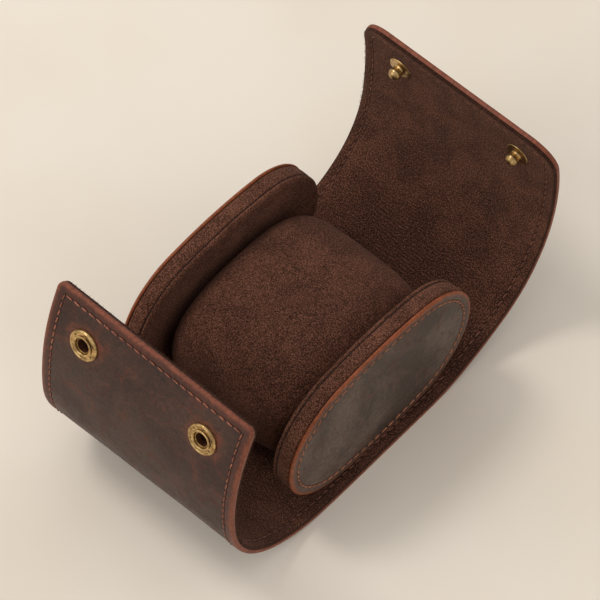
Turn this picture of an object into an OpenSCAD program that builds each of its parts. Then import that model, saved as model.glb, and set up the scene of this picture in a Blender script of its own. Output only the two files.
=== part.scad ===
/* [Strip] */
// Thickness of the outer leather
leather_t = 1.6; // [1.2:0.1:2.4]
// Thickness of the suede lining
lining_t = 1.2; // [0.8:0.1:1.8]
// How far the strip stands out past each end cap
edge_overhang = 3.6; // [1:0.2:6]
// Length of the flat base in front of its middle
base_front_l = 18; // [12:1:24]
// Length of the flat base behind its middle
base_back_l = 20; // [12:1:26]
// Gap in the lining at each fold
lining_gap = 1.1; // [0.9:0.1:1.6]
// Room round each rounded fold edge
fold_clearance = 0.08; // [0.04:0.02:0.1]

/* [Front flap] */
// Length of the front panel next to the base
front_1_l = 16; // [12:1:22]
// Bend of that panel at rest, in degrees
front_1_bend = 4; // [2:1:8]
// Length of the second front panel
front_2_l = 20; // [14:1:26]
// Bend of the second front panel at rest, in degrees
front_2_bend = 24; // [14:1:34]
// Length of the third front panel
front_3_l = 20; // [14:1:26]
// Bend of the third front panel at rest, in degrees
front_3_bend = 27; // [16:1:36]
// Length of the fourth front panel
front_4_l = 24; // [16:1:32]
// Bend of the fourth front panel at rest, in degrees
front_4_bend = 31; // [18:1:40]
// Length of the last front panel, which holds the sockets
front_5_l = 53.5; // [40:0.5:64]
// Bend of the last front panel at rest, in degrees
front_5_bend = 32; // [20:1:40]
// Radius of the two corners of the front flap
front_corner_r = 3; // [1:0.5:8]

/* [Lid] */
// Length of the lid panel next to the base
lid_1_l = 20; // [14:1:26]
// Bend of that panel at rest, in degrees
lid_1_bend = 20; // [12:1:28]
// Length of the second lid panel
lid_2_l = 20; // [14:1:26]
// Bend of the second lid panel at rest, in degrees
lid_2_bend = 10; // [4:1:20]
// Length of the third lid panel
lid_3_l = 20; // [14:1:26]
// Bend of the third lid panel at rest, in degrees
lid_3_bend = 26; // [16:1:36]
// Length of the fourth lid panel
lid_4_l = 22; // [16:1:28]
// Bend of the fourth lid panel at rest, in degrees
lid_4_bend = 22; // [14:1:30]
// Length of the last lid panel, which holds the studs
lid_5_l = 42; // [32:0.5:54]
// Bend of the last lid panel at rest, in degrees
lid_5_bend = 27; // [18:1:36]
// Radius of the two corners of the lid
lid_corner_r = 11; // [4:1:18]

/* [End caps] */
// Length of each oval end cap, front to back
cap_l = 89.6; // [80:0.2:96]
// Height of each oval end cap
cap_h = 58.6; // [50:0.2:64]
// How much the long sides of the oval bow out past its end circles
cap_bow = 1.3; // [0.6:0.1:4]
// Distance between the inner faces of the two caps
caps_gap = 59.6; // [52:0.2:70]
// Thickness of the leather face of each cap
face_t = 1.6; // [1:0.1:2.4]
// Width of the suede band round each cap
band_w = 5; // [3:0.5:9]
// Thickness of the suede band
band_t = 1.2; // [0.8:0.1:2]
// Thickness of the padded suede cover on the inner side of each cap
inner_cover_t = 2; // [1.4:0.1:3]
// Step of the rounded edge of the inner cover
inner_edge = 0.9; // [0.4:0.1:1.2]
// Depth of the flat that seats each cap on the lining
cap_seat = 0.25; // [0.15:0.05:0.6]

/* [Snaps] */
// Distance between the two snaps
snap_spacing = 51.5; // [40:0.5:52]
// Distance of the sockets from the edge of the front flap
socket_edge = 16; // [12:0.5:22]
// Distance of the studs from the edge of the lid
stud_edge = 15.5; // [12:0.5:22]
// Radius of each socket ring
ring_r = 5.75; // [5:0.05:7]
// Height of each socket ring above the leather
ring_h = 1.1; // [0.8:0.1:1.4]
// Radius of the bore of each socket
bore_r = 2.9; // [2.7:0.05:3.2]
// Wall of the socket barrel
barrel_wall = 0.3; // [0.2:0.05:0.45]
// Width of the rolled flanges at the ends of the barrel
flange_w = 0.6; // [0.4:0.1:0.9]
// Thickness of the rolled flanges
flange_t = 0.35; // [0.2:0.05:0.5]
// Wire diameter of the spring ring in each socket
spring_d = 0.5; // [0.3:0.05:0.6]
// Radius of the head of each stud
stud_r = 2.25; // [1.8:0.05:2.3]
// Height of each stud above the lining
stud_h = 4.8; // [4:0.1:5.4]
// Radius of the neck of each stud
neck_r = 1.6; // [1:0.1:1.8]
// Radius of the foot disc of each stud
foot_r = 4.5; // [3.6:0.1:5.5]
// Thickness of the foot disc and of the outer rivet head
foot_t = 0.6; // [0.4:0.05:0.9]
// Depth to which the snap discs press into the strip
press_d = 0.25; // [0.2:0.05:0.35]

/* [Pillow] */
// Length of the pillow, front to back
pillow_l = 76; // [60:1:84]
// Height of the pillow in the middle
pillow_h = 50; // [38:1:54]
// How far the crown of the pillow falls towards its ends
pillow_draw = 4.5; // [2:0.5:8]
// Fullness of the oval section of the pillow
pillow_power = 2.5; // [2:0.1:3.2]
// Thickness of the suede cover of the pillow
cover_t = 1.2; // [0.8:0.1:2]
// Gap between the pillow and each cap
pillow_side_gap = 0.4; // [0.3:0.1:2]
// Gap under the pillow
pillow_seat_gap = 0.3; // [0.2:0.1:0.6]

/* [Hidden] */
$fn = 240;

// Panels from the base outwards: length and resting bend
front_l = [front_1_l, front_2_l, front_3_l, front_4_l, front_5_l];
front_bend = [front_1_bend, front_2_bend, front_3_bend, front_4_bend, front_5_bend];
lid_l = [lid_1_l, lid_2_l, lid_3_l, lid_4_l, lid_5_l];
lid_bend = [lid_1_bend, lid_2_bend, lid_3_bend, lid_4_bend, lid_5_bend];
last = len(front_l) - 1;

strip_t = leather_t + lining_t;
cap_t = face_t + band_w + inner_cover_t;
strip_w = caps_gap + 2 * (cap_t + edge_overhang);
fold_r = leather_t / 2;
cut = 5;

// Radius of a panel's middle line, from its length and its bend in degrees
function bend_r(l, b) = l / (b * PI / 180);

// Where a panel starts: distance out from the middle, height and slope of the leather's middle line
function panel_start(out, ls, bs, i) =
    i == 0 ? [out, fold_r, 0] : panel_end(panel_start(out, ls, bs, i - 1), ls[i - 1], bs[i - 1]);
function panel_end(p, l, b) =
    let(r = bend_r(l, b))
    [p[0] + r * (sin(p[2] + b) - sin(p[2])), p[1] + r * (cos(p[2]) - cos(p[2] + b)), p[2] + b];

front_start = [for (i = [0:last]) panel_start(base_front_l, front_l, front_bend, i)];
lid_start = [for (i = [0:last]) panel_start(base_back_l, lid_l, lid_bend, i)];

// Draws a side profile across the width w, centred on the middle of the case
module across(w) rotate([90, 0, 90]) linear_extrude(w, center = true) children();

// The front flap is drawn towards the back and mirrored
module to_front() mirror([0, 1, 0]) children();

// One bent layer between two depths below the outer surface, trimmed at each end
module layer(start, l, b, depth_0, depth_1, trim_0 = 0, trim_1 = 0) {
    r = bend_r(l, b);
    outer = r + fold_r;
    from = -90 + trim_0 / r * 180 / PI;
    to = -90 + b - trim_1 / r * 180 / PI;
    translate([start[0], start[1]]) rotate(start[2]) translate([0, r])
        intersection() {
            difference() {
                circle(outer - depth_0);
                circle(outer - depth_1);
            }
            polygon([[0, 0], 2 * outer * [cos(from), sin(from)], 2 * outer * [cos(to), sin(to)]]);
        }
}

// The round edge of a panel's leather at its inner fold, and the hollow that takes it
module fold_edge(start, clearance = 0) translate([start[0], start[1]]) circle(fold_r + clearance);

// Rounds the two free corners of a flap, seen along the flap's thickness
module corner_cuts(start, l, b, corner_r) {
    end = panel_end(start, l, b);
    translate([0, end[0], end[1]]) rotate([end[2], 0, 0])
        for (side = [-1, 1]) scale([side, 1, 1]) translate([strip_w / 2 - corner_r, -corner_r, 0])
            linear_extrude(4 * strip_t, center = true)
                difference() {
                    square(corner_r + cut);
                    circle(corner_r);
                }
}

module leather_panel(starts, ls, bs, i) color("#4b3029") across(strip_w)
    difference() {
        union() {
            layer(starts[i], ls[i], bs[i], 0, leather_t);
            fold_edge(starts[i]);
        }
        if (i < last) fold_edge(starts[i + 1], fold_clearance);
    }

module lining_panel(starts, ls, bs, i) color("#4a332c") across(strip_w)
    layer(starts[i], ls[i], bs[i], leather_t, strip_t, lining_gap / 2, i < last ? lining_gap / 2 : 0);

module base_leather() color("#4b3029") across(strip_w)
    difference() {
        translate([-base_front_l, 0]) square([base_front_l + base_back_l, leather_t]);
        mirror([1, 0]) fold_edge(front_start[0], fold_clearance);
        fold_edge(lid_start[0], fold_clearance);
    }

module base_lining() color("#4a332c") across(strip_w)
    translate([-base_front_l + lining_gap / 2, leather_t])
        square([base_front_l + base_back_l - lining_gap, lining_t]);

// The front flap's last panel, with the two holes for the socket barrels and the rings' seats
module front_end(leather) to_front() difference() {
    if (leather) leather_panel(front_start, front_l, front_bend, last);
    else lining_panel(front_start, front_l, front_bend, last);
    corner_cuts(front_start[last], front_l[last], front_bend[last], front_corner_r);
    at_snaps(front_start, front_l, front_bend, socket_edge) {
        translate([0, 0, -strip_t - cut]) cylinder(strip_t + 2 * cut, r = barrel_r + press_fit);
        translate([0, 0, -press_d]) cylinder(cut, r = ring_r + press_fit);
        translate([0, 0, -strip_t + press_d - cut]) cylinder(cut, r = barrel_flange_r + press_fit);
    }
}

// The lid's last panel, with the two holes for the stud rivets and their seats
module lid_end(leather) difference() {
    if (leather) leather_panel(lid_start, lid_l, lid_bend, last);
    else lining_panel(lid_start, lid_l, lid_bend, last);
    corner_cuts(lid_start[last], lid_l[last], lid_bend[last], lid_corner_r);
    at_snaps(lid_start, lid_l, lid_bend, stud_edge) {
        translate([0, 0, -strip_t - cut]) cylinder(strip_t + 2 * cut, r = neck_r + press_fit);
        translate([0, 0, -press_d]) cylinder(cut, r = foot_r + press_fit);
        translate([0, 0, -strip_t + press_d - cut]) cylinder(cut, r = foot_r + press_fit);
    }
}

// Puts its children at both snaps of a flap, at the outer surface, with Z out of the leather
module at_snaps(starts, ls, bs, edge) {
    start = starts[last];
    r = bend_r(ls[last], bs[last]);
    turn = (ls[last] - edge) / r * 180 / PI;
    place = panel_end(start, ls[last] - edge, turn);
    for (side = [-1, 1]) translate([side * snap_spacing / 2, place[0], place[1]])
        rotate([180 + place[2], 0, 0]) translate([0, 0, fold_r]) children();
}

// Snap sizes that follow from the ones above
press_fit = 0.02;
barrel_r = bore_r + barrel_wall;
barrel_flange_r = barrel_r + flange_w;
spring_r = bore_r - spring_d / 2 - press_fit;
rim_fall = 0.4;
dimple_r = 0.45;
dimple_d = 0.3;
dimple_count = 6;

// Brass ring with a sloped rim and small dimples, seated on the leather
module socket_ring() difference() {
    rotate_extrude() polygon([
        [barrel_r + press_fit, -press_d], [ring_r, -press_d], [ring_r, ring_h - 2 * rim_fall],
        [ring_r - rim_fall, ring_h - rim_fall / 2], [ring_r - 2 * rim_fall, ring_h],
        [barrel_r + press_fit, ring_h]
    ]);
    for (k = [0:dimple_count - 1]) rotate(k * 360 / dimple_count)
        translate([(barrel_flange_r + ring_r - rim_fall) / 2, 0, ring_h - dimple_d])
            cylinder(cut, r = dimple_r, $fn = 24);
}

// Tube through the flap, rolled over the ring outside and over the lining inside
module socket_barrel() rotate_extrude() polygon([
    [bore_r, -strip_t + press_d - flange_t], [barrel_flange_r, -strip_t + press_d - flange_t],
    [barrel_flange_r, -strip_t + press_d], [barrel_r, -strip_t + press_d], [barrel_r, ring_h],
    [barrel_flange_r, ring_h], [barrel_flange_r, ring_h + flange_t], [bore_r, ring_h + flange_t]
]);

// Wire ring held in the mouth of the barrel
module socket_spring() translate([0, 0, ring_h - spring_d]) rotate_extrude()
    translate([spring_r, 0]) circle(d = spring_d, $fn = 24);

// Foot disc, neck and round head, with the rivet shank through the lid
module stud_post() union() {
    foot_z = -strip_t + press_d;
    translate([0, 0, -press_d]) mirror([0, 0, 1]) cylinder(strip_t - 2 * press_d + foot_t, r = neck_r);
    translate([0, 0, foot_z - foot_t]) cylinder(foot_t, r = foot_r);
    translate([0, 0, -strip_t - stud_h + stud_r]) cylinder(stud_h - stud_r, r = neck_r);
    translate([0, 0, -strip_t - stud_h + stud_r]) sphere(stud_r, $fn = 64);
}

// Low domed rivet head on the outside of the lid, pressed onto the shank
module stud_head() {
    dome_h = foot_t;
    dome_r = (foot_r * foot_r + dome_h * dome_h) / (2 * dome_h);
    intersection() {
        translate([0, 0, dome_h - press_d - dome_r]) sphere(dome_r, $fn = 180);
        translate([0, 0, -press_d]) cylinder(2 * dome_h, r = foot_r);
    }
}

module at_sockets() to_front() at_snaps(front_start, front_l, front_bend, socket_edge) children();
module at_studs() at_snaps(lid_start, lid_l, lid_bend, stud_edge) children();
module socket_rings() color("#8c6a34") at_sockets() socket_ring();
module socket_barrels() color("#7a5a2c") at_sockets() socket_barrel();
module socket_springs() color("#b0a58c") at_sockets() socket_spring();
module stud_posts() color("#a07c40") at_studs() stud_post();
module stud_heads() color("#8c6a34") at_studs() stud_head();

// Oval of four arcs in the side view, drawn inset by a distance all round. The end arcs stand a
// hair proud of the side arcs, so that the four cross cleanly.
end_proud = 0.03;
module oval(inset = 0) {
    half_h = cap_h / 2;
    end_r = half_h - cap_bow;
    end_y = cap_l / 2 - end_r - end_proud;
    side_r = (end_y * end_y + half_h * half_h - end_r * end_r) / (2 * (half_h - end_r));
    join_y = end_y * side_r / (side_r - end_r);
    for (end = [-1, 1]) translate([end * end_y, 0]) circle(end_r + end_proud - inset);
    intersection() {
        translate([0, half_h - side_r]) circle(side_r - inset, $fn = 720);
        translate([0, side_r - half_h]) circle(side_r - inset, $fn = 720);
        square([2 * join_y, cap_h], center = true);
    }
}

cap_z = strip_t + cap_h / 2 - cap_seat;
cap_inner_x = caps_gap / 2;

// The oval in the side view, cut flat where the cap sits on the lining
module cap_outline(inset = 0) intersection() {
    oval(inset);
    translate([-cap_l, strip_t - cap_z]) square([2 * cap_l, 2 * cap_h]);
}

// A slice of the cap from depth x0 to x1 outwards from its inner face
module cap_slice(x0, x1, inset = 0)
    translate([cap_inner_x + x0, 0, cap_z]) rotate([90, 0, 90]) linear_extrude(x1 - x0) cap_outline(inset);

module cap_face() color("#4d3f36") cap_slice(inner_cover_t + band_w, cap_t);
module cap_band() color("#5f4137") translate([cap_inner_x + inner_cover_t, 0, cap_z])
    rotate([90, 0, 90]) linear_extrude(band_w) difference() {
        cap_outline();
        oval(band_t);
    }
module cap_core() color("#2b2420") cap_slice(inner_cover_t, inner_cover_t + band_w, band_t + press_fit);
module cap_inner_cover() color("#4f362e") union() {
    cap_slice(inner_edge, inner_cover_t);
    cap_slice(0, inner_edge, inner_edge);
}
module to_left() mirror([1, 0, 0]) children();

// The pillow's crowned form: rings of a full oval that draw in towards both ends
pillow_rings = 12;
pillow_sides = 48;
pillow_w = caps_gap - 2 * pillow_side_gap;
pillow_z = strip_t + pillow_seat_gap + pillow_h / 2;

function power(v, e) = sign(v) * pow(abs(v), e);
function ring_point(x, ly, lz, a) =
    [x, ly * power(cos(a), 2 / pillow_power), pillow_z + lz * power(sin(a), 2 / pillow_power)];
function ring_x(k, half_w) = half_w * sin(-90 + 180 * k / pillow_rings);
function ring_draw(x) = pillow_draw * (0.25 * pow(2 * x / pillow_w, 2) + 0.75 * pow(2 * x / pillow_w, 6));

module pillow_form(half_w, skin) {
    points = [for (k = [0:pillow_rings]) for (s = [0:pillow_sides - 1])
        let(x = ring_x(k, half_w), d = ring_draw(x) + skin)
        ring_point(x, pillow_l / 2 - d, pillow_h / 2 - d, 360 * (s + 0.5) / pillow_sides)];
    n = pillow_sides;
    walls = [for (k = [0:pillow_rings - 1]) for (s = [0:n - 1])
        let(a = k * n + s, b = k * n + (s + 1) % n)
        each [[a, a + n, b], [b, a + n, b + n]]];
    ends = [for (s = [1:n - 2]) each [[0, s, s + 1], [n * pillow_rings, n * pillow_rings + s + 1,
        n * pillow_rings + s]]];
    polyhedron(points, concat(walls, ends));
}

// The middle of the pillow's form, between its two end panels
module pillow_between(x0, x1) intersection() {
    pillow_form(pillow_w / 2, 0);
    translate([x0, -pillow_l, pillow_z - pillow_h]) cube([x1 - x0, 2 * pillow_l, 2 * pillow_h]);
}
cover_half_w = pillow_w / 2 - cover_t;

module pillow_cover() color("#573a31") difference() {
    pillow_between(-cover_half_w, cover_half_w);
    pillow_form(pillow_w / 2, cover_t);
}
module pillow_core() color("#c9bda8") intersection() {
    pillow_form(pillow_w / 2, cover_t + press_fit);
    translate([-cover_half_w, -pillow_l, 0]) cube([2 * cover_half_w, 2 * pillow_l, 2 * pillow_h]);
}
module pillow_right_end() color("#573a31") pillow_between(cover_half_w, pillow_w);

base_leather();
base_lining();
to_front() leather_panel(front_start, front_l, front_bend, 0);  // front_leather_1
to_front() leather_panel(front_start, front_l, front_bend, 1);  // front_leather_2
to_front() leather_panel(front_start, front_l, front_bend, 2);  // front_leather_3
to_front() leather_panel(front_start, front_l, front_bend, 3);  // front_leather_4
front_end(true);  // front_leather_5
to_front() lining_panel(front_start, front_l, front_bend, 0);  // front_lining_1
to_front() lining_panel(front_start, front_l, front_bend, 1);  // front_lining_2
to_front() lining_panel(front_start, front_l, front_bend, 2);  // front_lining_3
to_front() lining_panel(front_start, front_l, front_bend, 3);  // front_lining_4
front_end(false);  // front_lining_5
leather_panel(lid_start, lid_l, lid_bend, 0);  // lid_leather_1
leather_panel(lid_start, lid_l, lid_bend, 1);  // lid_leather_2
leather_panel(lid_start, lid_l, lid_bend, 2);  // lid_leather_3
leather_panel(lid_start, lid_l, lid_bend, 3);  // lid_leather_4
lid_end(true);  // lid_leather_5
lining_panel(lid_start, lid_l, lid_bend, 0);  // lid_lining_1
lining_panel(lid_start, lid_l, lid_bend, 1);  // lid_lining_2
lining_panel(lid_start, lid_l, lid_bend, 2);  // lid_lining_3
lining_panel(lid_start, lid_l, lid_bend, 3);  // lid_lining_4
lid_end(false);  // lid_lining_5
to_left() cap_face();  // left_cap_face
to_left() cap_band();  // left_cap_band
to_left() cap_core();  // left_cap_core
to_left() cap_inner_cover();  // left_cap_inner_cover
cap_face();  // right_cap_face
cap_band();  // right_cap_band
cap_core();  // right_cap_core
cap_inner_cover();  // right_cap_inner_cover
socket_rings();
socket_barrels();
socket_springs();
stud_posts();
stud_heads();
pillow_cover();
pillow_core();
to_left() pillow_right_end();  // pillow_left_end
pillow_right_end();
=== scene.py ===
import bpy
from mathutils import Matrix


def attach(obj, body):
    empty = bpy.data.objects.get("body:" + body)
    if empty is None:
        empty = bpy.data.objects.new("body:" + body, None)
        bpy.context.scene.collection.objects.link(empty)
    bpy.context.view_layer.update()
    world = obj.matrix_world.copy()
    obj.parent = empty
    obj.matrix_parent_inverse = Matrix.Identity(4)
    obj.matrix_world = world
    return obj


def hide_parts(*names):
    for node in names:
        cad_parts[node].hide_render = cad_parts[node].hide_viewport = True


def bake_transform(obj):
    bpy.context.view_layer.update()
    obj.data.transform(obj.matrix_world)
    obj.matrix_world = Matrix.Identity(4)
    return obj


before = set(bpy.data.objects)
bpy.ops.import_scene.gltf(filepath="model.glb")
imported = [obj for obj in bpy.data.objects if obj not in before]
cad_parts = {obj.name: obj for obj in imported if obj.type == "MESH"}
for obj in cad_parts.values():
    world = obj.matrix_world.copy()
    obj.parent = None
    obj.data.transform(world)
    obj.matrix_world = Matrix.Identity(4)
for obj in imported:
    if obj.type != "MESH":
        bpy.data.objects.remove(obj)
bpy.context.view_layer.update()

import math
import bmesh
import bpy
import numpy as np
from mathutils import Matrix, Vector

# The wrap's outer leather: one strip of oiled pull-up leather that lies under the case and stands
# up as the flap in front and the lid behind. Its rims are rounded, burnished and pulled down by
# the seam. It is cut flat (x across, s along from the middle of the base) and rolled to its curve.
mm = 0.001
wrap_half = 42 * mm
leather_t = 1.6 * mm
burnished_r = 0.55 * mm
crisp_r = 0.12 * mm
seam_inset = 3.7 * mm
groove_depth, groove_half = 0.2 * mm, 0.42 * mm
rim_puff, rim_puff_w = 0.16 * mm, 3.3 * mm
snap_x = 25.75 * mm
hole_r = 2.85 * mm
# A flap leaves the flat of the base and bends panel by panel: (length in mm, bend in degrees).
front = dict(name="front", sign=-1, bodies="front_panel_", flat=18, corner=3 * mm,
             snap_s=135.5 * mm, panels=((16, 4), (20, 24), (20, 27), (24, 31), (53.5, 32)))
lid = dict(name="lid", sign=1, bodies="lid_panel_", flat=20, corner=11 * mm,
           snap_s=128.5 * mm, panels=((20, 20), (20, 10), (20, 26), (22, 22), (42, 27)))
for flap in (front, lid):
    flap["length"] = (flap["flat"] + sum(length for length, bend in flap["panels"])) * mm


def hump(s, start, length):
    """A smooth rise to one and back to nothing, over that length of the strip."""
    return np.sin(math.pi * ((s - start) / length).clip(0, 1)) ** 2


front_sag, lid_sag, lid_lift = 1.5 * mm, 2.8 * mm, 0.2 * mm
ripple_h = 0.12 * mm


def lean(x, s):
    """How far the soft strip stands off its even curve, towards the inside: its left side sags
    outwards, and it ripples a little."""
    left = ((wrap_half - x) / (2 * wrap_half)).clip(0, 1) ** 1.5
    right = ((wrap_half + x) / (2 * wrap_half)).clip(0, 1) ** 2
    front_low = hump(-s, 38 * mm, 80 * mm)
    lid_low = hump(s, 35 * mm, 85 * mm)
    ripple = np.sin(s / (11 * mm) + 2 * np.sin(x / (17 * mm))) * np.sin(x / (13 * mm) + 1)
    sag = lid_low * (lid_lift * right - lid_sag * left) - front_sag * front_low * left
    return sag + ripple_h * ripple * (front_low + lid_low)


def rolled(flat):
    """Flat places (x, s, n) on the strip, n towards the inside from the leather's middle, at their
    place on its curve."""
    x, s, n = np.asarray(flat, float).reshape(-1, 3).T
    y, z, angle = s.copy(), np.full_like(s, leather_t / 2), np.zeros_like(s)
    for flap in (front, lid):
        sign, at = flap["sign"], flap["flat"] * mm
        fold_y, fold_z, fold_a = at, leather_t / 2, 0.0
        for length, bend in flap["panels"]:
            length, bend = length * mm, math.radians(bend)
            radius = length / bend
            past = sign * s >= at
            a = fold_a + (sign * s - at) / radius
            y = np.where(past, sign * (fold_y + radius * (np.sin(a) - math.sin(fold_a))), y)
            z = np.where(past, fold_z + radius * (math.cos(fold_a) - np.cos(a)), z)
            angle = np.where(past, a, angle)
            fold_y += radius * (math.sin(fold_a + bend) - math.sin(fold_a))
            fold_z += radius * (math.cos(fold_a) - math.cos(fold_a + bend))
            at, fold_a = at + length, fold_a + bend
    n = n + lean(x, s)
    return np.stack([x, y - np.sign(s) * np.sin(angle) * n, z + np.cos(angle) * n], -1)


def rim_distance(x, s, flap):
    """How far in from the strip's cut edge a flat place is."""
    corner = flap["corner"]
    u, v = abs(x) - (wrap_half - corner), abs(s) - (flap["length"] - corner)
    if u > 0 and v > 0:
        return corner - math.hypot(u, v)
    return min(wrap_half - abs(x), flap["length"] - abs(s))


def marks(low, high, wanted, step):
    """Places from low to high: the wanted ones, and even steps between them."""
    fixed = sorted({round(m, 7) for m in (low, *wanted, high) if low <= m <= high})
    places = []
    for a, b in zip(fixed, fixed[1:]):
        count = max(1, math.ceil((b - a) / step - 1e-6))
        places += [a + (b - a) * k / count for k in range(count)]
    return places + [high]


edge_marks = [d * mm for d in (0, 0.05, 0.15, 0.3, 0.55, 1.0, 1.6, 2.4, 3.0, 3.35, 3.7, 4.05, 4.4,
                               5.0, 6.2)]
fold_marks = [0.1 * mm, 0.35 * mm, 1 * mm]
hole_marks = [k * hole_r for k in (-3, -2, -1.5, -1, -0.5, 0, 0.5, 1, 1.5, 2, 3)]
widest_across, widest_along = 2.6 * mm, 2.2 * mm
past_rim = -0.8 * mm


def zone_ends(flap):
    """Where each of a flap's five zones starts and ends: at the middles of its panels."""
    at, middles = flap["flat"], []
    for length, bend in flap["panels"]:
        middles.append((at + length / 2) * mm)
        at += length
    return list(zip([0.0] + middles[:4], middles[:4] + [flap["length"]]))


def shape_end(bm, flap, half, end):
    """Draws a flap's last grid round its two snap holes, opens them and rounds its two corners."""
    corner_x, corner_s = half - flap["corner"], end - flap["corner"]
    for v in bm.verts:
        for side in (-1, 1):
            p = Vector((v.co.x - side * snap_x, v.co.y - flap["snap_s"], 0))
            square = max(abs(p.x), abs(p.y)) / hole_r
            if 0 < square < 3:
                ring = p.normalized() * square * hole_r
                p = ring.lerp(p, max(0, square - 1) / 2)
                v.co.x, v.co.y = side * snap_x + p.x, flap["snap_s"] + p.y
        corner = Vector((abs(v.co.x) - corner_x, v.co.y - corner_s, 0))
        if corner.x > 0 and corner.y > 0:
            ring = corner.normalized() * max(corner)
            v.co.x = math.copysign(corner_x + ring.x, v.co.x)
            v.co.y = corner_s + ring.y
    centres = [Vector((side * snap_x, flap["snap_s"], 0)) for side in (-1, 1)]
    holes = [f for f in bm.faces
             if any((f.calc_center_median() - centre).length < hole_r for centre in centres)]
    bmesh.ops.delete(bm, geom=holes, context="FACES")


def strip_zone(flap, zone, low, high, inset, low_round, high_round, relief):
    """One zone of a layer of the strip, closed, from height low to high, with rounded rims where
    it ends in an edge. The seam pulls its low side in (relief -1) or its high side (relief 1)."""
    start, end = zone_ends(flap)[zone]
    half = wrap_half - inset
    across = [half - d for d in edge_marks]
    along = [start + m for m in fold_marks]
    if zone == 4:
        end = flap["length"] - inset
        across += [snap_x + m for m in hole_marks]
        along += [end - d for d in edge_marks] + [flap["snap_s"] + m for m in hole_marks]
    else:
        along += [end - m for m in fold_marks]
    columns = marks(0, half, across, widest_across)
    columns = [-c for c in columns[:0:-1]] + columns
    rows = marks(start, end, along, widest_along)
    bm = bmesh.new()
    bmesh.ops.create_grid(bm, x_segments=len(columns) - 1, y_segments=len(rows) - 1, size=1)
    for v in bm.verts:
        v.co.x = columns[round((v.co.x + 1) / 2 * (len(columns) - 1))]
        v.co.y = rows[round((v.co.y + 1) / 2 * (len(rows) - 1))]
    if zone == 4:
        shape_end(bm, flap, half, end)
    raised = bmesh.ops.extrude_face_region(bm, geom=bm.faces[:])
    for v in raised["geom"]:
        if isinstance(v, bmesh.types.BMVert):
            v.co.z = 1
    rim_layer = bm.verts.layers.float.new("rim")
    for v in bm.verts:
        rim = max(0.0, rim_distance(v.co.x, v.co.y, flap) - inset)
        top = v.co.z > 0.5
        r = high_round if top else low_round
        fall = r - math.sqrt(max(0.0, r * r - max(0.0, r - rim) ** 2))
        pull = 0.0
        if top == (relief > 0):
            from_seam = (rim - seam_inset + inset) / groove_half
            pull = groove_depth * math.exp(-from_seam ** 2)
            pull -= rim_puff * math.sin(math.pi * min(1, rim / rim_puff_w)) ** 2
        v.co.z = high - fall - pull if top else low + fall + pull
        v.co.y *= flap["sign"]
        # The corner where the two layers meet counts as past the rim; the leather paints shade
        # there, darkest in that corner.
        v[rim_layer] = rim if rim > 0 or top != (relief < 0) else past_rim
    bmesh.ops.recalc_face_normals(bm, faces=bm.faces)
    return bm


def finished(bm, name, material, sharp=40):
    """A mesh object from the bmesh: shaded smooth, with its corners sharper than the angle kept."""
    for f in bm.faces:
        f.smooth = True
    for e in bm.edges:
        e.smooth = len(e.link_faces) == 2 and e.calc_face_angle(0) < math.radians(sharp)
    mesh = bpy.data.meshes.new(name)
    bm.to_mesh(mesh)
    bm.free()
    piece = bpy.data.objects.new(name, mesh)
    bpy.context.scene.collection.objects.link(piece)
    mesh.materials.append(material)
    return piece


def roll_up(bm):
    """Keeps a flat piece's own x and s as its UV map, and rolls it to the strip's curve."""
    uv = bm.loops.layers.uv.new("flat")
    for f in bm.faces:
        for loop in f.loops:
            loop[uv].uv = loop.vert.co.xy
    for v, place in zip(bm.verts, rolled([v.co for v in bm.verts])):
        v.co = place


held_flat = 9 * mm
last_fold = 24 * mm


def flex(piece, flap, zone):
    """Bakes a piece's placement into its mesh. The places on the strip's curve where its zone
    starts and ends are worked out but not used, so the piece does not bend."""
    start, end = zone_ends(flap)[zone]
    start = held_flat if zone == 0 else start
    end = start + last_fold if zone == 4 else end
    a, b = rolled([(0, flap["sign"] * start, 0), (0, flap["sign"] * end, 0)])
    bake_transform(piece)


def colour(written):
    """A colour written as a hexadecimal screen colour, as the shader's linear one."""
    parts = [int(written[k:k + 2], 16) / 255 for k in (1, 3, 5)]
    return (*[p / 12.92 if p <= 0.04045 else ((p + 0.055) / 1.055) ** 2.4 for p in parts], 1)


def finish_named(name):
    """A new material, a short way to add a node with its inputs, and one to feed the shader."""
    material = bpy.data.materials.new(name)
    material.use_nodes = True
    tree = material.node_tree
    shader = tree.nodes["Principled BSDF"]

    def put(socket, value):
        if isinstance(value, bpy.types.NodeSocket):
            tree.links.new(value, socket)
        else:
            socket.default_value = value

    def add(kind, inputs=None, **settings):
        node = tree.nodes.new("ShaderNode" + kind)
        for key, value in settings.items():
            setattr(node, key, value)
        for key, value in (inputs or {}).items():
            put(node.inputs[key], value)
        return node

    def feed(**sockets):
        for key, value in sockets.items():
            put(shader.inputs[key.replace("_", " ").title().replace("Ior", "IOR")], value)

    return material, add, feed


def mixed(add, share, a, b, blend="MIX"):
    """The colour between a and b."""
    return add("Mix", {0: share, 6: a, 7: b}, data_type="RGBA", blend_type=blend).outputs[2]


def between(add, value, low, high, to_low=0.0, to_high=1.0):
    """A value eased from its range low..high to to_low..to_high."""
    ranges = {"From Min": low, "From Max": high, "To Min": to_low, "To Max": to_high}
    return add("MapRange", {"Value": value, **ranges}, interpolation_type="SMOOTHSTEP").outputs[0]


def tinted(add, base, tint, value, low, high, most):
    """The base colour, turned to the tint by at most that share as the value goes low..high."""
    return mixed(add, between(add, value, low, high, 0, most), base, colour(tint))


def shaded(add, base, grey):
    """The base colour, darker or lighter by a grey of about one."""
    grey = add("CombineColor", {0: grey, 1: grey, 2: grey}).outputs[0]
    return mixed(add, 1.0, base, grey, "MULTIPLY")


def figured(add, operation, *values):
    """What an operation makes of one or two values."""
    return add("Math", dict(enumerate(values)), operation=operation).outputs[0]


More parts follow.
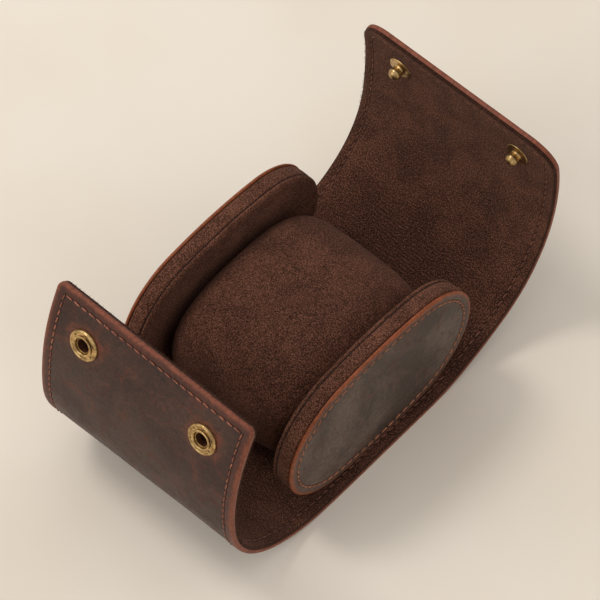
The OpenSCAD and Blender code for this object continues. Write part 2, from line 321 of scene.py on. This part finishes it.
def speckle(add, place, scale, detail=3.0, rough=0.55, warp=0.0):
    """A noise of that many grains a metre."""
    settings = {"Vector": place, "Scale": scale, "Detail": detail, "Roughness": rough}
    return add("TexNoise", {**settings, "Distortion": warp}).outputs[0]


def pull_up_leather(name, body, pale, warm, edge, place_of, clouds=30, rubbed_at=None):
    """Oiled leather: clouded brown, redder where it was rubbed and towards its burnished rim, with
    painted shade in the seam's groove and in the corner where its layers meet, dark in its pores,
    with a low waxy shine."""
    material, add, feed = finish_named(name)
    place = place_of(add)
    rim = add("Attribute", attribute_name="rim").outputs["Fac"]
    cloud = speckle(add, place, clouds, 4, 0.6, 0.6)
    scuff = speckle(add, place, 170, 6, 0.7, 0.9)
    grain = speckle(add, place, 1700, 4, 0.65)
    patch = speckle(add, place, 75, 5, 0.65, 1.2)
    pebble = speckle(add, place, 620, 5, 0.75)
    base = mixed(add, between(add, cloud, 0.36, 0.66), colour(body), colour(pale))
    base = tinted(add, base, warm, patch, 0.5, 0.68, 0.65)
    base = tinted(add, base, warm, scuff, 0.52, 0.72, 0.5)
    base = tinted(add, base, "#20130e", scuff, 0.5, 0.3, 0.6)
    ragged = figured(add, "SUBTRACT", rim, figured(add, "MULTIPLY", scuff, 3.2 * mm))
    base = tinted(add, base, warm, ragged, 4 * mm, -0.6 * mm, 0.5)
    base = tinted(add, base, edge, ragged, 0.3 * mm, -1.6 * mm, 0.95)
    if rubbed_at:
        x, s = add("SeparateXYZ", {0: place}).outputs[:2]
        x = figured(add, "SUBTRACT", figured(add, "ABSOLUTE", x), rubbed_at[0])
        s = figured(add, "SUBTRACT", s, rubbed_at[1])
        from_snap = add("CombineXYZ", {0: x, 1: s}).outputs[0]
        away = add("VectorMath", {0: from_snap}, operation="LENGTH").outputs["Value"]
        away = figured(add, "SUBTRACT", away, figured(add, "MULTIPLY", patch, 9 * mm))
        base = tinted(add, base, edge, away, 5 * mm, 0, 0.42)
    # Painted shade: nearly black in the corner where the two layers meet.
    base = tinted(add, base, "#20120c", rim, -0.2 * mm, -0.7 * mm, 0.85)
    # Painted shade in the seam's groove.
    groove = figured(add, "ABSOLUTE", figured(add, "SUBTRACT", rim, seam_inset))
    base = tinted(add, base, "#1f130f", groove, 0.9 * mm, 0.2 * mm, 0.5)
    pores = figured(add, "MULTIPLY", between(add, grain, 0.3, 0.62, 0.66, 1.1),
                    between(add, pebble, 0.36, 0.64, 0.78, 1.16))
    base = shaded(add, base, pores)
    bump = add("Bump", {"Strength": 0.6, "Distance": 0.06 * mm, "Height": grain})
    soft = add("Bump", {"Strength": 0.5, "Distance": 0.3 * mm, "Height": scuff,
                        "Normal": bump.outputs[0]})
    feed(base_color=base, normal=soft.outputs[0], specular_ior_level=0.24,
         roughness=between(add, scuff, 0.3, 0.75, 0.42, 0.6))
    return material


def strip_place(add):
    """The flat place on the strip, so that the hide runs on over every fold."""
    return add("UVMap", uv_map="flat").outputs[0]


outer_leather = pull_up_leather("outer_leather", "#34201a", "#463026", "#5b2f22", "#80452f",
                                strip_place, rubbed_at=(snap_x, -front["snap_s"]))
for flap in (front, lid):
    for zone in range(5):
        bm = strip_zone(flap, zone, -leather_t / 2, leather_t / 2, 0, burnished_r, crisp_r, -1)
        roll_up(bm)
        piece = finished(bm, f"{flap['name']}_wrap_leather_{zone + 1}", outer_leather)
        flex(piece, flap, zone)
        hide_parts(f"{flap['name']}_leather_{zone + 1}", *["base_leather"] * (zone == 0))

# The wrap's lining: a second layer of leather with its suede side in, glued to the outer one and
# sewn with it at the rim. Its cut edge shows as a darker line beside the burnished one.
lining_t = 1.2 * mm
lining_low, lining_high = leather_t / 2 + 0.01 * mm, leather_t / 2 + lining_t
lining_inset = 0.2 * mm
suede_round = 0.35 * mm


def suede(name, deep, body, pale, place_of, grain=2300, creased=False, brushing=0.9):
    """Suede: short nap brushed in patches, dark between its tufts and pale at their ends. On the
    strip it is dark at its cut edge, has painted shade in the seam's groove, and is creased where
    the lid stands up, with painted shade in its creases."""
    material, add, feed = finish_named(name)
    place = place_of(add)
    brushed = speckle(add, place, 80, 5, 0.65, 0.6)
    tuft = speckle(add, place, grain, 2, 0.7, 0.2)
    fibre = speckle(add, place, 2.1 * grain, 2, 0.7)
    base = mixed(add, between(add, brushed, 0.36, 0.66), colour(deep), colour(body))
    base = tinted(add, base, pale, tuft, 0.5, 0.65, 0.92)
    base = tinted(add, base, "#120906", tuft, 0.5, 0.37, 0.88)
    base = tinted(add, base, "#a87a66", fibre, 0.55, 0.72, 0.6)
    base = shaded(add, base, between(add, brushed, 0.36, 0.66, brushing, 1.05))
    height = figured(add, "ADD", tuft, fibre)
    bump = add("Bump", {"Strength": 0.9, "Distance": 0.25 * mm, "Height": height})
    if creased:
        rim = add("Attribute", attribute_name="rim").outputs["Fac"]
        base = tinted(add, base, "#2c1a13", rim, 0.5 * mm, 0.1 * mm, 0.8)
        # Painted shade in the seam's groove.
        groove = figured(add, "SUBTRACT", rim, seam_inset - lining_inset)
        groove = figured(add, "ABSOLUTE", groove)
        base = tinted(add, base, "#150b08", groove, 0.8 * mm, 0.15 * mm, 0.6)
        along = add("SeparateXYZ", {0: place}).outputs[1]
        creases = add("TexWave", {"Vector": place, "Scale": 260, "Distortion": 5, "Detail": 2,
                                  "Detail Scale": 0.7}, bands_direction="Y").outputs["Fac"]
        for share in (between(add, along, 30 * mm, 44 * mm), between(add, along, 82 * mm, 62 * mm),
                      between(add, rim, 12 * mm, 24 * mm), between(add, brushed, 0.4, 0.55)):
            creases = figured(add, "MULTIPLY", creases, share)
        # Painted shade in the creases, which also get a bump.
        base = tinted(add, base, "#1a0f0b", creases, 0.3, 1, 0.45)
        bump = add("Bump", {"Strength": 0.7, "Distance": 0.35 * mm, "Height": creases,
                            "Normal": bump.outputs[0]})
    feed(base_color=base, normal=bump.outputs[0], roughness=0.95, specular_ior_level=0.1,
         sheen_weight=0.12, sheen_roughness=0.5, sheen_tint=colour("#c8a08c"))
    return material


suede_lining = suede("suede_lining", "#392118", "#4e2f21", "#805240", strip_place, grain=1900,
                     creased=True, brushing=0.84)
for flap in (front, lid):
    for zone in range(5):
        bm = strip_zone(flap, zone, lining_low, lining_high, lining_inset, crisp_r, suede_round, 1)
        roll_up(bm)
        piece = finished(bm, f"{flap['name']}_wrap_lining_{zone + 1}", suede_lining)
        flex(piece, flap, zone)
        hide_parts(f"{flap['name']}_lining_{zone + 1}", *["base_lining"] * (zone == 0))

# The wrap's seam: a saddle-stitched row of waxed red-brown thread all round the rim, seen on both
# sides. Each stitch is a short plump length of thread, a little aslant, sunk in the seam's groove.
# On the suede side it is a darker copy of the same thread, painted shade where it sinks into the
# nap.
stitch_pitch = 3.3 * mm
stitch_half = 1.4 * mm
stitch_slant = 0.1
thread_r = 0.3 * mm
thread_proud, thread_sunk = 0.03 * mm, 0.12 * mm


def waxed_thread(name, pale, dark):
    """Twisted thread: pale plies with dark between them, darker again where the wax has worn."""
    material, add, feed = finish_named(name)
    place = add("TexCoord").outputs["Object"]
    ply = speckle(add, place, 2600, 2, 0.5)
    worn = speckle(add, place, 180, 2, 0.5)
    base = mixed(add, between(add, ply, 0.35, 0.65), colour(dark), colour(pale))
    base = tinted(add, base, dark, worn, 0.42, 0.66, 0.7)
    bump = add("Bump", {"Strength": 0.6, "Distance": 0.08 * mm, "Height": ply})
    feed(base_color=base, normal=bump.outputs[0], roughness=0.62, specular_ior_level=0.3)
    return material


def seam_path(flap):
    """Flat places and directions of a flap's stitches, from the base up one side, across the end
    and down the other."""
    corner = max(0.0, flap["corner"] - seam_inset)
    side = flap["length"] - seam_inset - corner
    across = wrap_half - seam_inset - corner
    arc = corner * math.pi / 2
    total = 2 * side + 2 * arc + 2 * across
    count = round(total / stitch_pitch)
    for k in range(count):
        t = (k + 0.5) * total / count
        mirror = 1 if t < total / 2 else -1
        t = min(t, total - t)
        if t < side:
            x, s, heading = across + corner, t, math.pi / 2
        elif t < side + arc:
            a = (t - side) / corner
            x, s = across + corner * math.cos(a), side + corner * math.sin(a)
            heading = math.pi / 2 + a
        else:
            x, s, heading = across - (t - side - arc), side + corner, math.pi
        heading = math.atan2(flap["sign"] * math.sin(heading), mirror * math.cos(heading))
        yield mirror * x, flap["sign"] * s, heading


def add_stitch(row, place, turn, radius, half_length):
    """Adds one stitch to a row: a plump length of thread that lies along the turned Z."""
    bmesh.ops.create_uvsphere(
        row, u_segments=8, v_segments=6, radius=1,
        matrix=Matrix.Translation(place) @ turn @ Matrix.Diagonal((radius, radius, half_length, 1)))


stitch_thread = waxed_thread("stitch_thread", "#b06f55", "#683727")
painted_shade_thread = waxed_thread("painted_shade_thread", "#8a5742", "#4a2c20")
lying = Matrix.Rotation(math.pi / 2, 4, "Y")
for flap in (front, lid):
    rows = [bmesh.new() for zone in range(5)]
    for x, s, heading in seam_path(flap):
        zone = next(k for k, (a, b) in enumerate(zone_ends(flap)) if abs(s) < b)
        for n, slant in ((-leather_t / 2 - thread_proud, stitch_slant),
                         (lining_high - thread_sunk, -stitch_slant)):
            turn = Matrix.Rotation(heading + slant, 4, "Z") @ lying
            add_stitch(rows[zone], (x, s, n), turn, thread_r, stitch_half)
    for zone, bm in enumerate(rows):
        for f in bm.faces:
            # The suede side's stitches take the darker copy of the thread: painted shade.
            f.material_index = int(f.calc_center_median().z > 0)
        for v, place in zip(bm.verts, rolled([v.co for v in bm.verts])):
            v.co = place
            v.co.z = max(0, v.co.z)
        piece = finished(bm, f"{flap['name']}_wrap_stitches_{zone + 1}", stitch_thread, 80)
        piece.data.materials.append(painted_shade_thread)
        flex(piece, flap, zone)

# The lining's loose nap: short suede fibres, left by the knife, that stand out of its cut edge
# round the upper half of each flap.
fibre_count = 520
fibre_root = 0.25 * mm
fibre_root_r, fibre_tip_r = 0.07 * mm, 0.02 * mm
nap_fibre, add, feed = finish_named("nap_fibre")
shade = speckle(add, add("TexCoord").outputs["Object"], 900, 2)
shade = between(add, shade, 0.35, 0.65)
feed(base_color=mixed(add, shade, colour("#2a1811"), colour("#6b4535")), roughness=0.95,
     specular_ior_level=0.1)
for flap, seed in ((front, 3), (lid, 4)):
    bm = bmesh.new()
    draw = np.random.default_rng(seed)
    start, end = zone_ends(flap)[4]
    across = 2 * (wrap_half - flap["corner"])
    along = end - flap["corner"] - start
    for t in draw.uniform(0, 2 * along + across, fibre_count):
        if t < across:
            x, s, heading = t - across / 2, end, math.pi / 2
        else:
            x, s, heading = wrap_half, start + (t - across) % along, 0.0
            x, heading = (-x, math.pi) if t - across > along else (x, heading)
        heading += draw.uniform(-0.9, 0.9)
        size = draw.uniform(0.35, 0.8) * mm
        x, s = x - fibre_root * math.cos(heading), s - fibre_root * math.sin(heading)
        rooted = Matrix.Translation((x, flap["sign"] * s, draw.uniform(1.0, 1.8) * mm))
        rooted @= Matrix.Rotation(flap["sign"] * heading, 4, "Z")
        rooted @= Matrix.Rotation(draw.uniform(0.9, 1.5), 4, "Y")
        bmesh.ops.create_cone(bm, cap_ends=True, segments=3, radius1=fibre_root_r,
                              radius2=fibre_tip_r, depth=size,
                              matrix=rooted @ Matrix.Translation((0, 0, size / 2)))
    for v, place in zip(bm.verts, rolled([v.co for v in bm.verts])):
        v.co = place
    piece = finished(bm, f"{flap['name']}_wrap_loose_nap", nap_fibre, 80)
    flex(piece, flap, 4)

# The end caps: two stiff oval drums that close the roll's sides. Each has a leather face with a
# burnished, sewn rim, a suede band round its edge and a soft suede cover turned to the pillow.
# The oval is drawn with two radii, a small one for its ends and a large one for its long sides.
cap_half_l = 44.8 * mm
cap_half_h = 29.3 * mm
cap_z = 31.85 * mm
cap_steps = 192
weld = 0.001 * mm
cap_end_r = 28 * mm
cap_end_y = cap_half_l - cap_end_r
cap_side_r = (cap_end_y ** 2 + cap_half_h ** 2 - cap_end_r ** 2) / (2 * (cap_half_h - cap_end_r))
cap_join = math.asin(cap_end_y / (cap_side_r - cap_end_r))


def on_oval(turn, inset):
    """The place (y, z) and outward heading on the cap's oval, that share of a turn round its
    length from its back end."""
    end_arc = (math.pi / 2 - cap_join) * cap_end_r
    side_arc = cap_join * cap_side_r
    t = (turn % 1) * 4
    quarter, t = int(t), t - int(t)
    t = (1 - t if quarter % 2 else t) * (end_arc + side_arc)
    if t < end_arc:
        a = t / cap_end_r
        r = max(0.0, cap_end_r - inset)
        y, z = cap_end_y + r * math.cos(a), r * math.sin(a)
    else:
        a = math.pi / 2 - cap_join + (t - end_arc) / cap_side_r
        r = cap_side_r - min(inset, cap_half_h)
        y, z = r * math.cos(a), cap_half_h - cap_side_r + r * math.sin(a)
    y_sign, z_sign = ((1, 1), (-1, 1), (-1, -1), (1, -1))[quarter]
    return y_sign * y, z_sign * z, math.atan2(z_sign * math.sin(a), y_sign * math.cos(a))


def spun(places, axis, steps):
    """A row of places carried once round an axis through the origin."""
    bm = bmesh.new()
    verts = [bm.verts.new(place) for place in places]
    edges = [bm.edges.new(pair) for pair in zip(verts, verts[1:])]
    bmesh.ops.spin(bm, geom=verts + edges, cent=(0, 0, 0), axis=axis, dvec=(0, 0, 0),
                   angle=2 * math.pi, steps=steps, use_merge=True, use_duplicate=False)
    bmesh.ops.remove_doubles(bm, verts=bm.verts, dist=weld)
    return bm


def turned(profile):
    """A closed ring or disc from its profile of (x, inset) places in mm, carried round the cap's
    oval."""
    bm = spun([(x * mm, 0, cap_half_h - inset * mm) for x, inset in profile], (1, 0, 0), cap_steps)
    rim_layer = bm.verts.layers.float.new("rim")
    for v in bm.verts:
        inset = cap_half_h - math.hypot(v.co.y, v.co.z)
        y, z, heading = on_oval(math.atan2(v.co.z, v.co.y) / (2 * math.pi), inset)
        v.co.y, v.co.z = y, z
        v[rim_layer] = inset
    bmesh.ops.holes_fill(bm, edges=[e for e in bm.edges if len(e.link_faces) == 1])
    return bm


def to_side(bm, side):
    """Puts a piece that was made for the right cap on its own side and turns its faces out."""
    for v in bm.verts:
        v.co.x *= side
    bm.normal_update()
    bmesh.ops.recalc_face_normals(bm, faces=bm.faces)


def body_place(add):
    """The place on a rigid piece."""
    return add("TexCoord").outputs["Object"]


cap_leather = pull_up_leather("cap_leather", "#3d2f27", "#635349", "#56372a", "#914c2b",
                              body_place, clouds=20)
cap_suede = suede("cap_suede", "#4e2d1e", "#603b2a", "#8e5d4b", body_place)
face_profile = (
    (37.05, 24), (37.05, 1.0), (37.07, 0.45), (37.2, 0.18), (37.45, 0.02), (37.7, 0), (37.8, 0.06),
    (38.02, 0.2), (38.2, 0.45), (38.33, 0.8), (38.4, 1.25), (38.4, 1.8), (38.36, 2.4),
    (38.25, 2.95), (38.12, 3.3), (38.04, 3.6), (38.1, 3.9), (38.2, 4.25), (38.27, 4.8), (38.3, 5.8),
    (38.32, 8), (38.35, 12), (38.38, 18), (38.4, 24))
band_profile = (
    (36.93, 2.2), (36.93, 1.1), (36.85, 0.65), (36.6, 0.34), (36.05, 0.16), (34.85, 0.06),
    (33.5, 0.06), (32.4, 0.12), (31.9, 0.26), (31.7, 0.5), (31.64, 0.95), (31.64, 2.2),
    (36.93, 2.2))
cover_profile = (
    (31.5, 24), (31.5, 1.4), (31.46, 0.95), (31.36, 0.55), (31.18, 0.25), (30.95, 0.12),
    (30.75, 0.12), (30.4, 0.3), (30.12, 0.6), (29.93, 1.0), (29.83, 1.5), (29.8, 2.1),
    (29.84, 2.8), (29.95, 3.4), (30.08, 4.0), (30.12, 5.0), (30.1, 8), (30.05, 14), (30.05, 24))
cap_foot = leather_t + lining_t

for side, hand in ((-1, "left"), (1, "right")):
    for profile, part, material, slot in ((face_profile, "face", cap_leather, "cap_leather"),
                                          (band_profile, "band", cap_suede, "cap_suede"),
                                          (cover_profile, "inner_cover", cap_suede, "cap_suede")):
        bm = turned(profile)
        for v in bm.verts:
            v.co.z = max(v.co.z + cap_z, cap_foot)
        to_side(bm, side)
        piece = finished(bm, f"{hand}_cap_sewn_{part}", material, 60)
        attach(piece, "base")
        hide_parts(f"{hand}_cap_{part}")

# The caps' stitching: the red-brown thread made lighter round each leather face, painted light
# where the face stands in shade, and a finer dark one that closes the suede cover onto the band,
# down in the groove.
cap_thread_painted_light = waxed_thread("cap_thread_painted_light", "#bd7c5a", "#8a5239")
dark_thread = waxed_thread("dark_thread", "#3b231b", "#24140f")
lowest_stitch = cap_foot + 0.6 * mm
for side, hand in ((-1, "left"), (1, "right")):
    for name, material, slot, count, x, inset, radius, half_length, slant in (
            ("face_stitches", cap_thread_painted_light, "cap_leather", 68, 38.22 * mm, 3.6 * mm,
             0.3 * mm, 1.35 * mm, Matrix.Rotation(0.12, 4, "X")),
            ("seam_stitches", dark_thread, "cap_suede", 104, 31.52 * mm, 0.42 * mm,
             0.24 * mm, 0.75 * mm, Matrix.Rotation(0.3, 4, "Y"))):
        bm = bmesh.new()
        for k in range(count):
            y, z, heading = on_oval((k + 0.5) / count, inset)
            if z + cap_z >= lowest_stitch:
                turn = Matrix.Rotation(heading, 4, "X") @ slant
                add_stitch(bm, (x, y, z + cap_z), turn, radius, half_length)
        to_side(bm, side)
        piece = finished(bm, f"{hand}_cap_{name}", material, 80)
        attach(piece, "base")

# The caps' stiff boards: grey-brown card, cut to the oval and hidden between face and cover. They
# keep the form in which they were built.
cap_board, add, feed = finish_named("cap_board")
fleck = between(add, speckle(add, body_place(add), 900, 3), 0.35, 0.65)
feed(base_color=mixed(add, fleck, colour("#5a5048"), colour("#73675c")), roughness=0.9,
     specular_ior_level=0.2)


def keep_form(node, material):
    """Leaves a piece in the form in which it was built, and gives it its finish."""
    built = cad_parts[node]
    built.data.materials.clear()
    built.data.materials.append(material)


for node in ("left_cap_core", "right_cap_core"):
    keep_form(node, cap_board)

# The snaps: antique brass press studs. The flap carries the sockets, a round cap ring with six
# small dents set over a rolled tube, and the lid carries the studs, a foot, a neck and a ball.


def brass_finish(name, bright, dull):
    """Antique brass: bright metal under patches of tarnish, nearly black with tarnish in its dents,
    and with painted near-black shade inside the sockets' tubes.
    """
    material, add, feed = finish_named(name)
    place = body_place(add)
    dark_patina_and_shade = add("Attribute", attribute_name="dark_patina_and_shade").outputs["Fac"]
    tarnish = speckle(add, place, 420, 4, 0.6, 0.5)
    fine = speckle(add, place, 2600, 3, 0.6)
    base = mixed(add, between(add, tarnish, 0.36, 0.66), colour(dull), colour(bright))
    base = mixed(add, dark_patina_and_shade, base, colour("#1c130b"))
    bump = add("Bump", {"Strength": 0.35, "Distance": 0.04 * mm, "Height": fine})
    feed(base_color=base, metallic=1.0, normal=bump.outputs[0],
         roughness=between(add, tarnish, 0.3, 0.7, 0.42, 0.28))
    return material


dent_count = 6
dent_r = 0.42 * mm
dent_ring_r = 4.36 * mm
dent_depth = 0.22 * mm
ring_top = 0.5 * mm
tube_bore_r, tube_mouth = 2.95 * mm, 0.6 * mm


def press_dents(bm, dark):
    """Presses the small dents into the top of a cap ring."""
    for v in bm.verts:
        for k in range(dent_count):
            a = 2 * math.pi * (k + 0.5) / dent_count
            off = math.hypot(v.co.x - dent_ring_r * math.cos(a),
                             v.co.y - dent_ring_r * math.sin(a)) / dent_r
            if off < 1 and v.co.z > ring_top:
                v.co.z -= dent_depth * (1 - off ** 4)
                v[dark] = min(1, 1.6 * (1 - off ** 2))


def paint_shade_in_bore(bm, dark):
    """Paints shade, near black, on the inside of a socket's tube below its mouth."""
    for v in bm.verts:
        if v.co.xy.length < tube_bore_r and v.co.z < tube_mouth:
            v[dark] = 1


def seat_on(flap, side):
    """The turn and place that seat a snap on a flap: Z stands out of the outer leather."""
    s = flap["sign"] * flap["snap_s"]
    low, high = (Vector(place) for place in rolled(
        [(side * snap_x, s, -leather_t / 2), (side * snap_x, s, -leather_t / 2 - mm)]))
    out = (high - low).normalized()
    across = Vector((1, 0, 0))
    turn = Matrix((across, out.cross(across), out)).transposed().to_4x4()
    return Matrix.Translation(low) @ turn


antique_brass = brass_finish("antique_brass", "#d0af78", "#92744a")
channel = tuple((4.72 - 0.096 * k, 0.88) for k in range(9))
ring_profile = (
    (3.25, -0.22), (5.7, -0.22), (5.74, 0.15), (5.75, 0.42), (5.69, 0.68), (5.55, 0.9),
    (5.35, 1.05), (5.12, 1.13), (4.94, 1.1), (4.82, 1.0), *channel, (3.9, 0.89), (3.25, 0.9),
    (3.25, -0.22))
tube_profile = (
    (0, -2.9), (3.6, -2.9), (3.76, -2.86), (3.8, -2.76), (3.78, -2.62), (3.2, -2.58), (3.2, 1.02),
    (3.62, 1.06), (3.78, 1.16), (3.8, 1.3), (3.68, 1.46), (3.42, 1.55), (3.14, 1.5), (2.96, 1.32),
    (2.9, 1.05), (2.9, -2.76), (0, -2.78))
ball_z, ball_r = -5.35, 2.25
ball_turns = [math.radians(-38 + 128 * k / 16) for k in range(16)]
post_profile = (
    (0, 0.3), (1.6, 0.3), (1.6, -2.52), (4.2, -2.55), (4.42, -2.68), (4.5, -2.88), (4.44, -3.04),
    (4.2, -3.15), (3.2, -3.22), (2.3, -3.28), (1.9, -3.42), (1.66, -3.7), (1.6, -4.1),
    (1.62, -4.5), *((ball_r * math.cos(a), ball_z - ball_r * math.sin(a)) for a in ball_turns),
    (0, ball_z - ball_r))
head_profile = (
    (0, -0.24), (4.3, -0.24), (4.46, -0.12), (4.5, 0.0), (4.4, 0.1), (4.0, 0.2), (3.2, 0.29),
    (2.0, 0.35), (1.0, 0.36), (0, 0.36))
for name, flap, profile, steps, worked in (
        ("socket_rings", front, ring_profile, 144, press_dents),
        ("socket_barrels", front, tube_profile, 72, paint_shade_in_bore),
        ("stud_posts", lid, post_profile, 72, None),
        ("stud_heads", lid, head_profile, 72, None)):
    both = bmesh.new()
    for side in (-1, 1):
        bm = spun([(r * mm, 0, z * mm) for r, z in profile], (0, 0, 1), steps)
        dark = bm.verts.layers.float.new("dark_patina_and_shade")
        if worked:
            worked(bm, dark)
        bmesh.ops.recalc_face_normals(bm, faces=bm.faces)
        bm.transform(seat_on(flap, side))
        half = bpy.data.meshes.new("half")
        bm.to_mesh(half)
        bm.free()
        both.from_mesh(half)
        bpy.data.meshes.remove(half)
    piece = finished(both, f"brass_{name}", antique_brass, 50)
    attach(piece, flap["bodies"] + "5")
    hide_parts(name)

# The sockets' spring rings: drawn brass wire, sprung open in the mouths of the tubes, where they
# grip the studs. They keep the form in which they were built.
spring_wire, add, feed = finish_named("spring_wire")
drawn = between(add, speckle(add, body_place(add), 3000, 2), 0.35, 0.65)
feed(base_color=mixed(add, drawn, colour("#745b33"), colour("#b08f58")), metallic=1.0,
     roughness=0.4)
keep_form("socket_springs", spring_wire)

# The pillow: a foam roll in a suede cover, crowned in its middle and drawn in where it meets the
# caps, squeezed between them and lifted out by hand. Its skin is puffed by simulation.
pillow_half_w = 29.4 * mm
pillow_half_l = 38 * mm
pillow_half_h = 25 * mm
pillow_foot = leather_t + lining_t + 0.3 * mm
pillow_z = pillow_foot + pillow_half_h
crown = 4.5 * mm
slack = 0.5 * mm
skin_step = 2.2 * mm
puff_pressure = 4
puff_frames = 20
most_puff = 0.9 * mm
pillow_suede = suede("pillow_suede", "#44271b", "#573425", "#805342", body_place)


def pillow_place(direction):
    """Where a direction from the pillow's middle meets its slack skin, before it is puffed."""
    half_w = pillow_half_w - slack
    x = half_w * math.copysign(1 - (1 - abs(direction.x)) ** 1.7, direction.x)
    share = abs(x) / half_w
    draw = crown * (0.25 * share ** 2 + 0.75 * share ** 6) + slack
    end = (1 - share ** 9) ** (1 / 9) if share < 1 else 0.0
    off_axis = math.hypot(direction.y, direction.z)
    if off_axis < 1e-6:
        return Vector((x, 0, pillow_z))
    c, s = direction.y / off_axis, direction.z / off_axis
    y = (pillow_half_l - draw) * math.copysign(abs(c) ** 0.8, c) * end
    z = (pillow_half_h - draw) * math.copysign(abs(s) ** 0.8, s) * end
    return Vector((x, y, pillow_z + z))


bm = bmesh.new()
bmesh.ops.create_uvsphere(bm, u_segments=96, v_segments=64, radius=1,
                          matrix=Matrix.Rotation(math.pi / 2, 4, "Y"))
for v in bm.verts:
    v.co = pillow_place(v.co.normalized())
bmesh.ops.recalc_face_normals(bm, faces=bm.faces)
pillow = finished(bm, "pillow_suede_cover", pillow_suede, 180)
bpy.context.view_layer.objects.active = pillow
remesh = pillow.modifiers.new("skin", "REMESH")
remesh.mode, remesh.voxel_size = "VOXEL", skin_step
bpy.ops.object.modifier_apply(modifier="skin")
before = [v.co.copy() for v in pillow.data.vertices]
cloth = pillow.modifiers.new("puff", "CLOTH")
cloth.settings.use_pressure = True
cloth.settings.uniform_pressure_force = puff_pressure
cloth.settings.effector_weights.gravity = 0
for number in range(1, puff_frames + 1):
    bpy.context.scene.frame_set(number)
bpy.ops.object.modifier_apply(modifier="puff")
bpy.context.scene.frame_set(1)
for v, old in zip(pillow.data.vertices, before):
    move = v.co - old
    if move.length > most_puff:
        v.co = old + move * (most_puff / move.length)
for v in pillow.data.vertices:
    v.co.z = max(v.co.z, pillow_foot)
    v.co.x = max(-pillow_half_w, min(pillow_half_w, v.co.x))
for f in pillow.data.polygons:
    f.use_smooth = True
smoothing = pillow.modifiers.new("nap", "SUBSURF")
smoothing.levels = smoothing.render_levels = 1
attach(pillow, "pillow")
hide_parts("pillow_cover", "pillow_core", "pillow_left_end", "pillow_right_end")

# The table top that it was photographed on: plain cream paper, a little uneven in tone, with a
# fine tooth. It is wide enough to fill the picture.
table_half = 6
table_paper, add, feed = finish_named("table_paper")
place = body_place(add)
tone = between(add, speckle(add, place, 9, 3, 0.5), 0.3, 0.7)
tooth = speckle(add, place, 500, 3, 0.6)
bump = add("Bump", {"Strength": 0.15, "Distance": 0.2 * mm, "Height": tooth})
feed(base_color=mixed(add, tone, colour("#eaddcc"), colour("#f0e5d6")), roughness=1.0,
     specular_ior_level=0.0, normal=bump.outputs[0])
bm = bmesh.new()
bmesh.ops.create_grid(bm, x_segments=1, y_segments=1, size=table_half)
table = finished(bm, "table_top", table_paper)

# The light: one soft window-like lamp high on the left, a broad pale reflector low in front on the
# left that opens up the shadows, and an even room light.
room_light = 0.72
world = bpy.data.worlds.new("room")
bpy.context.scene.world = world
world.use_nodes = True
background = world.node_tree.nodes["Background"]
background.inputs["Color"].default_value = (1, 1, 1, 1)
background.inputs["Strength"].default_value = room_light
aim = Vector((0, 0, 30 * mm))
for name, towards, distance, size, power in (("window", (-46, -14, 82), 1.5, 0.42, 5.2),
                                              ("reflector", (-40, -80, 42), 2.6, 1.8, 13.6)):
    lamp = bpy.data.lights.new(name, "AREA")
    lamp.shape, lamp.size, lamp.energy = "DISK", size, power
    lamp.color = (1.0, 0.98, 0.95)
    holder = bpy.data.objects.new(name, lamp)
    direction = Vector(towards).normalized()
    holder.location = aim + direction * distance
    holder.rotation_mode = "QUATERNION"
    holder.rotation_quaternion = (-direction).to_track_quat("-Z", "Y")
    bpy.context.scene.collection.objects.link(holder)

# The camera: from the front right and high up, through a long lens, level with the table's edge.
# Its picture is shifted a little up and to the right of the case's middle.
azimuth, elevation = math.radians(42.18), math.radians(57.87)
shift_right, shift_up = 1.3 * mm, 10.2 * mm
camera_distance = 1.4
back = Vector((math.sin(azimuth) * math.cos(elevation), -math.cos(azimuth) * math.cos(elevation),
               math.sin(elevation)))
right = Vector((math.cos(azimuth), math.sin(azimuth), 0))
up = back.cross(right)
target = aim + up * shift_up + right * shift_right
camera = bpy.data.objects.new("camera", bpy.data.cameras.new("camera"))
camera.data.lens = 252
camera.data.sensor_width = 36
camera.data.clip_start, camera.data.clip_end = 0.05, 20
camera.location = target + back * camera_distance
camera.rotation_mode = "QUATERNION"
camera.rotation_quaternion = Matrix((right, up, back)).transposed().to_quaternion()
bpy.context.scene.collection.objects.link(camera)
bpy.context.scene.camera = camera
bpy.context.scene.view_settings.view_transform = "Standard"
